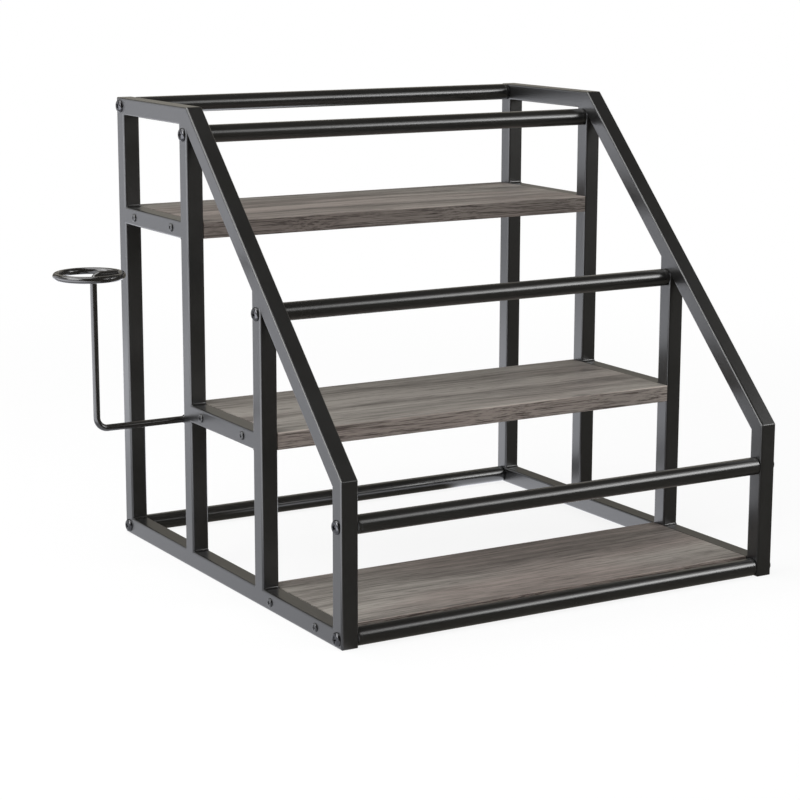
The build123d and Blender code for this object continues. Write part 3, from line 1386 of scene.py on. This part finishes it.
@dataclass(frozen=True)
class FloorMirror:
    """Which places of the floor look pale in a reflection.

    A pair is a soft step, in metres past a line by the rack. The lane runs back from the rack's front right
    corner, and the right frame's inner faces mirror it low down. The floor under the rear bottom bar is left
    out of it. Higher up those faces mirror the near patch behind the rack, and the left frame's outer faces
    mirror the far one.
    """

    ahead: Point = (-0.40, 0.92, 0.0)
    across: Point = (0.86, 0.51, 0.0)
    seen_left: Point = (-0.862, -0.507, 0.0)
    seen_right: Point = (-0.99, -0.14, 0.0)
    beside_edge: Pair = (-0.015, 0.003)
    ahead_edge: Pair = (-0.12, 0.0)
    behind_edge: Pair = (0.01, 0.10)
    seen_edge: Pair = (-0.04, 0.04)
    strip_edge: Pair = (0.06, 0.18)
    lane_edge: Pair = (-0.08, -0.03)
    lane_side: Pair = (0.004, 0.012)
    lane_start: Pair = (0.02, 0.07)
    lane_end: Pair = (0.45, 0.65)
    lane_gain: float = 2.2
    bar_start: Pair = (0.305, 0.315)
    bar_end: Pair = (0.35, 0.36)
    bar_side: Pair = (0.05, 0.07)
    near_edge: Pair = (0.215, 0.245)
    near_end: Pair = (1.0, 1.25)
    near_gain: float = 1.3
    far_edge: Pair = (0.30, 0.40)
    far_start: Pair = (2.1, 2.6)
    far_gain: float = 0.4

    def regions(self, surface: Surface) -> tuple[Value, Value]:
        """Marks the pale places and the bright strip.

        Args:
            surface: The floor's graph.

        Returns:
            How pale the floor is, and how much of it is the bright strip.
        """
        place = surface.place
        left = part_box("left_front_post")[0].xy.to_3d()
        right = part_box("right_rear_post")[1].xy.to_3d()
        near = Vector((right.x, left.y, 0.0))
        beside = surface.beyond(place, left, LEFTWARD).between(*self.beside_edge)
        ahead = surface.beyond(place, left, self.ahead).between(*self.ahead_edge)
        behind = surface.beyond(place, right, BACKWARD).between(*self.behind_edge)
        seen = surface.beyond(place, right, self.seen_right).between(*self.seen_edge)
        strip = surface.beyond(place, left, self.seen_left).between(*self.strip_edge) * beside * ahead
        deep = surface.beyond(place, near, BACKWARD)
        aside = surface.beyond(place, near, LEFTWARD)
        lane = surface.beyond(place, near, self.across).between(*self.lane_edge)
        lane = lane * aside.between(*self.lane_side)
        lane = lane * deep.between(*self.lane_start) * (1 - deep.between(*self.lane_end))
        under_bar = deep.between(*self.bar_start) * (1 - deep.between(*self.bar_end))
        lane = lane * (1 - under_bar * aside.between(*self.bar_side))
        across = surface.beyond(place, left, self.across)
        nearer = across.between(*self.near_edge) * (1 - deep.between(*self.near_end)) * self.near_gain
        farther = (1 - across.between(*self.far_edge)) * deep.between(*self.far_start) * self.far_gain
        open_floor = (beside * ahead).most(behind) * seen * (1 + nearer + farther)
        return open_floor.most(lane * self.lane_gain), strip


@dataclass
class Studio:
    """Camera, floor, panel, lamps and world: bright at the left and behind, dim at the front right.

    The world, the floor and the panel show one look to the camera and another in a reflection. A pair named
    edge, top or fade is a soft step: on a direction's part along a line in the world, otherwise in metres.
    """

    lens: float = 100.2
    sensor: float = 36.0
    clip: Pair = (0.05, 100.0)
    stand: Point = (-0.784856, -1.356373, 0.443402)
    yaw: float = -30.476
    pitch: float = 11.671
    roll: float = 0.137
    warm: Colour = (1.0, 0.94, 0.82)
    cool: Colour = (0.925, 0.94, 1.0)
    sky: float = 0.35
    mirror_dim: float = 0.09
    mirror_back: float = 0.15
    mirror_mid: float = 0.85
    mirror_bright: float = 3.2
    sky_left: Point = (-0.97, 0.24, 0.0)
    sky_back: Point = (0.5, 0.86, 0.0)
    left_edge: Pair = (0.30, 0.56)
    left_top: Pair = (0.34, 0.58)
    back_edge: Pair = (0.45, 0.9)
    back_top: Pair = (0.24, 0.42)
    floor_reach: float = 12.0
    floor_tone: float = 0.86
    floor_dim: float = 0.145
    floor_share: float = 0.88
    floor_fade: Pair = (0.45, 1.3)
    panel_back: Point = (0.507, 0.862, 0.0)
    panel_across: Point = (0.862, -0.507, 0.0)
    panel_away: float = 1.3
    panel_half: float = 0.8
    panel_top: float = 1.2
    panel_glow: float = 0.46
    panel_edge: Pair = (0.44, 0.54)
    lamps: tuple[Lamp, ...] = (
        Lamp("Left window", (-0.86, -0.12, 0.54), 1.5, (1.0, 0.7), 11.0),
        Lamp("Front strip", (0.76, -0.70, 0.52), 1.5, (1.4, 0.75), 4.2),
        Lamp("Front strip, middle step", (0.911, -0.988, 0.503), 1.435, (0.62, 0.45), 2.5),
        Lamp("Front strip, right step", (1.005, -0.885, 0.503), 1.43, (0.36, 0.45), 1.1),
        Lamp("Overhead sheet", (-0.45, 0.25, 1.1), 1.7, (1.6, 1.6), 22.0),
    )

    def camera(self) -> None:
        """Stands the camera where the photograph was taken from."""
        yaw, pitch, roll = (math.radians(a) for a in (self.yaw, self.pitch, self.roll))
        ahead = Vector((-math.sin(yaw) * math.cos(pitch), math.cos(yaw) * math.cos(pitch), -math.sin(pitch)))
        across = Vector((math.cos(yaw), math.sin(yaw), 0.0))
        upright = across.cross(ahead)
        right = across * math.cos(roll) + upright * math.sin(roll)
        up = upright * math.cos(roll) - across * math.sin(roll)
        data = bpy.data.cameras.new("Photograph")
        data.lens, data.sensor_width, data.sensor_fit = self.lens, self.sensor, "HORIZONTAL"
        data.clip_start, data.clip_end = self.clip
        made = new_object("Photograph", data)
        turned = Matrix((right, up, -ahead)).transposed().to_4x4()
        made.matrix_world = Matrix.Translation(self.stand) @ turned
        bpy.context.scene.camera = made

    def world(self) -> None:
        """A white backdrop for the camera and a graded one for light and reflections."""
        world = bpy.data.worlds.new("Studio")
        world.use_nodes = True
        bpy.context.scene.world = world
        graph = Graph(world.node_tree)
        away = graph.node("ShaderNodeTexCoord").outputs["Generated"]
        ways = (self.sky_left, self.sky_back, UPWARD)
        left, back, height = (graph.beyond(away, ORIGIN, way) for way in ways)
        cool_share = left.between(*self.left_edge) * (1 - height.between(*self.left_top))
        back_share = back.between(*self.back_edge) * (1 - height.between(*self.back_top))
        glow = cool_share * (self.mirror_mid - self.mirror_dim) + self.mirror_dim
        glow = glow + back_share * (self.mirror_back - self.mirror_dim)
        seen, glossy = graph.rays()
        strength = (glossy * glow + (1 - glossy) * self.sky) * (1 - seen) + seen
        tint = graph.blend(glossy, WHITE, graph.blend(cool_share, self.warm, self.cool))
        shader = graph.node("ShaderNodeBackground", {}, {"Color": tint, "Strength": strength})
        graph.node("ShaderNodeOutputWorld", {}, {"Surface": shader.outputs[0]})

    def floor(self) -> None:
        """A pale floor that keeps the rack's shadow and fades to white."""
        surface = Surface("Pale studio floor")
        reach = surface.node("ShaderNodeVectorMath", {"operation": "LENGTH"}, {0: surface.place})
        away = surface.value(reach.outputs["Value"])
        seen, glossy = surface.rays()
        matt = surface.node("ShaderNodeBsdfDiffuse", {}, {"Color": (*[self.floor_tone] * 3, 1.0)})
        white = surface.node("ShaderNodeEmission", {}, {"Strength": 1.0})
        pale, strip = FloorMirror().regions(surface)
        glow = pale * (self.mirror_mid - self.floor_dim) + self.floor_dim
        glow = glow + strip * (self.mirror_bright - self.mirror_mid)
        tint = surface.blend(pale, self.warm, self.cool)
        mirror = surface.node("ShaderNodeEmission", {}, {"Color": tint, "Strength": glow})
        rest = (1 - self.floor_share) * away.between(*self.floor_fade)
        shown = surface.mixed((seen * (self.floor_share + rest)).clamp(), matt, white)
        cover = surface.show(surface.mixed(glossy, shown, mirror))
        corners = [Vector((x, y, 0.0)) * self.floor_reach for x, y in SQUARE]
        floor = self.sheet("Floor", corners, cover)

    def panel(self) -> None:
        """A warm panel far behind the rack that only the tops of the top rails mirror."""
        surface = Surface("Warm studio panel")
        height = surface.beyond(surface.place, ORIGIN, UPWARD)
        _, glossy = surface.rays()
        glow = {"Color": (*self.warm, 1.0), "Strength": self.panel_glow}
        lit = surface.node("ShaderNodeEmission", {}, glow)
        clear = surface.node("ShaderNodeBsdfTransparent")
        cover = surface.show(surface.mixed(height.between(*self.panel_edge) * glossy, clear, lit))
        foot = Vector(self.panel_back) * self.panel_away
        side, top = Vector(self.panel_across) * self.panel_half, Vector(UPWARD) * self.panel_top
        corners = [foot + side * x + top * max(y, 0) for x, y in SQUARE]
        panel = self.sheet("Panel", corners, cover)

    @staticmethod
    def sheet(name: str, corners: Sequence[Vector], cover: bpy.types.Material) -> Object:
        """A flat piece of studio gear.

        Args:
            name: Its name.
            corners: Its four corners, in turn.
            cover: Its material.

        Returns:
            The piece.
        """
        mesh = bpy.data.meshes.new(name)
        mesh.from_pydata(corners, [], [(0, 1, 2, 3)])
        mesh.materials.append(cover)
        return new_object(name, mesh)

    def build(self) -> None:
        """Sets the whole studio up."""
        self.camera()
        self.world()
        self.floor()
        self.panel()
        for lamp in self.lamps:
            lamp.hang()
        bpy.context.scene.view_settings.view_transform = "Standard"


def main() -> None:
    """Builds every sub-assembly in order."""
    logging.basicConfig(level=logging.INFO, format="%(name)s: %(message)s")
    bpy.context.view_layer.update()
    repeater = Repeater()
    bars = CrossBars()
    shelves = Shelves()
    bar_places = [bars.centre(node) for node in bars.nodes]
    Studio().build()
    SideFrames().build(repeater)
    bars.build(repeater)
    shelves.build()
    FastenerSet("bar_bolts", BOLT, BOLT_PLATING, bar_places).build(repeater)
    FastenerSet("shelf_screws", SHELF_SCREW, SCREW_COATING, shelves.screw_places()).build(repeater)
    RingHolder().build(WireBender(), repeater)


if __name__ == "__main__":
    main()
